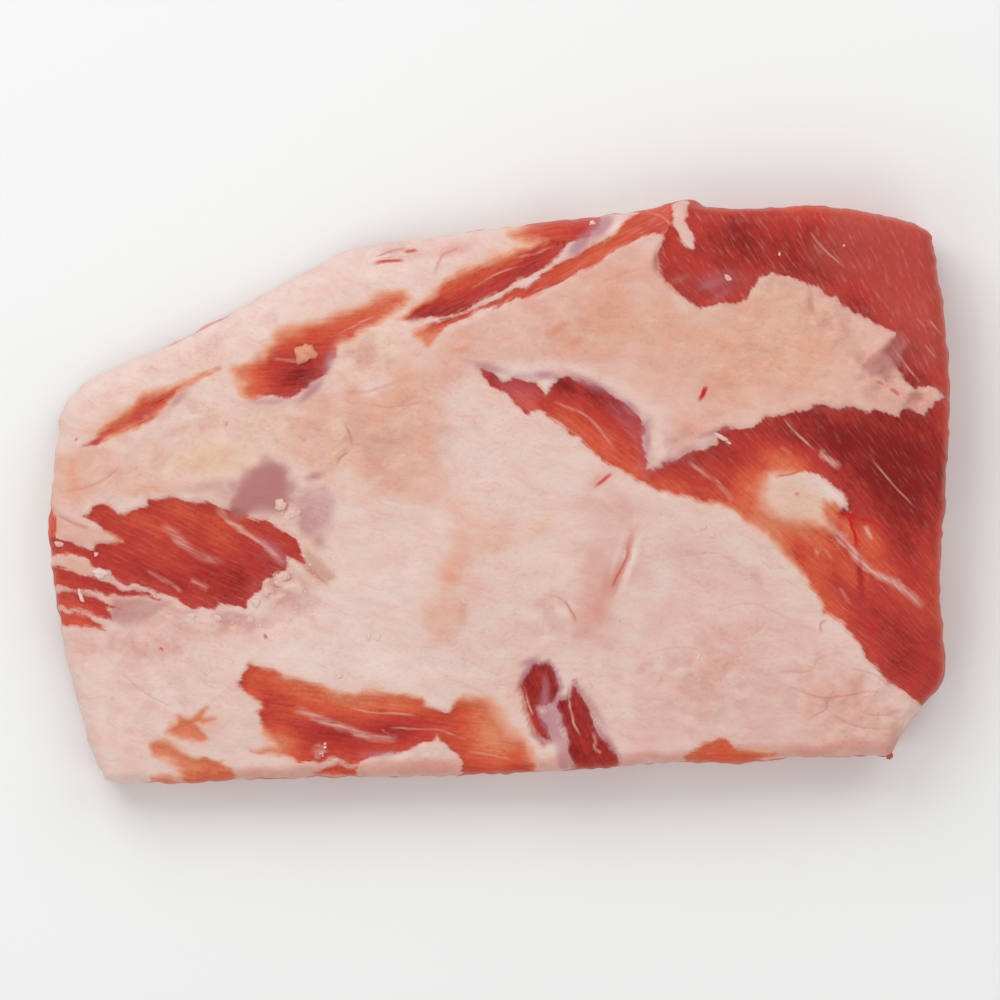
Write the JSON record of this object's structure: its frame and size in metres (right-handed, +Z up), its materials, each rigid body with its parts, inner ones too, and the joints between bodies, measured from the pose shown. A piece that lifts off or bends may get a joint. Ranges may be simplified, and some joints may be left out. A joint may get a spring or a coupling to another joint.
{
  "type": "lamb breast",
  "caption": "Raw lamb breast, a flat slab of meat lying fat side up, with a pale torn fat cover and windows of bare red lean.",
  "frame": {"origin": "on the underside, below the middle of the slab's box", "axes": "+X along the slab from the flank end to the brisket end, +Y across it from the sawn rib edge to the belly edge, +Z up out of the fat side"},
  "size_m": [0.25, 0.1618, 0.0235],
  "materials": {
    "meat": "moist raw meat: pale pink fat cover with patches of red lean"
  },
  "bodies": {
    "root": {"lamb_breast": "meat"}
  },
  "joints": []
}
